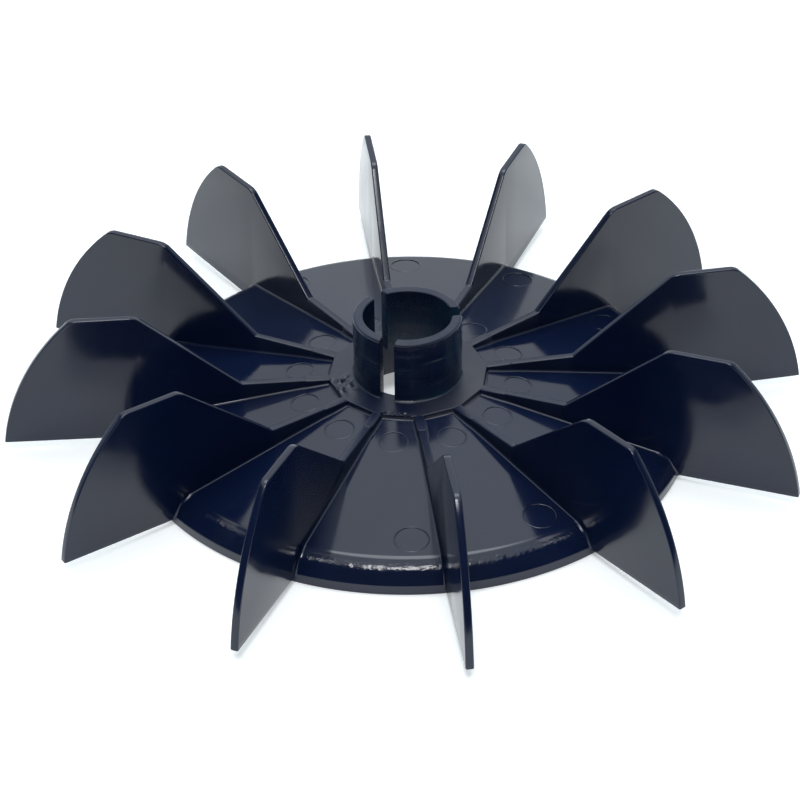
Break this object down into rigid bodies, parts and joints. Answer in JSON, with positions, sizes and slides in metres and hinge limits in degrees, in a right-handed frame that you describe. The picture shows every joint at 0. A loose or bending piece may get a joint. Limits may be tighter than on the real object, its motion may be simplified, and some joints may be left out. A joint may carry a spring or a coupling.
{
  "type": "motor cooling fan wheel",
  "caption": "One-piece moulded radial cooling wheel: dished round back plate, boss with a split clamp collar, straight upright vanes that reach past the rim.",
  "frame": {"origin": "on the shaft axis, in the plane of the rim's lower edge that the wheel stands on", "axes": "+Z along the shaft axis towards the collar's open end; +X through the first vane and the collar's first slot"},
  "size_m": [0.2572, 0.2572, 0.0469],
  "materials": {
    "black_nylon": "gloss, near-black with a slight blue tint"
  },
  "bodies": {
    "wheel": {"back_plate": "black_nylon", "hub_boss": "black_nylon", "hub_rib_01": "black_nylon", "hub_rib_02": "black_nylon", "hub_rib_03": "black_nylon", "hub_rib_04": "black_nylon", "hub_rib_05": "black_nylon", "hub_rib_06": "black_nylon", "hub_rib_07": "black_nylon", "hub_rib_08": "black_nylon", "hub_rib_09": "black_nylon", "hub_rib_10": "black_nylon", "hub_rib_11": "black_nylon", "hub_rib_12": "black_nylon", "vane_01": "black_nylon", "vane_02": "black_nylon", "vane_03": "black_nylon", "vane_04": "black_nylon", "vane_05": "black_nylon", "vane_06": "black_nylon", "vane_07": "black_nylon", "vane_08": "black_nylon", "vane_09": "black_nylon", "vane_10": "black_nylon", "vane_11": "black_nylon", "vane_12": "black_nylon"},
    "finger_1": {"collar_finger_1": "black_nylon"},
    "finger_2": {"collar_finger_2": "black_nylon"},
    "finger_3": {"collar_finger_3": "black_nylon"}
  },
  "joints": [
    {"name": "finger_flex_1", "type": "hinge", "parent": "wheel", "child": "finger_1", "pos_m": [0.0078, 0.01351, 0.018], "axis": [-0.866, 0.5, 0], "range_deg": [-1, 1], "stiffness_Nm_per_rad": 30},
    {"name": "finger_flex_2", "type": "hinge", "parent": "wheel", "child": "finger_2", "pos_m": [-0.0156, 0, 0.018], "axis": [0, -1, 0], "range_deg": [-1, 1], "stiffness_Nm_per_rad": 30},
    {"name": "finger_flex_3", "type": "hinge", "parent": "wheel", "child": "finger_3", "pos_m": [0.0078, -0.01351, 0.018], "axis": [0.866, 0.5, 0], "range_deg": [-1, 1], "stiffness_Nm_per_rad": 30}
  ]
}
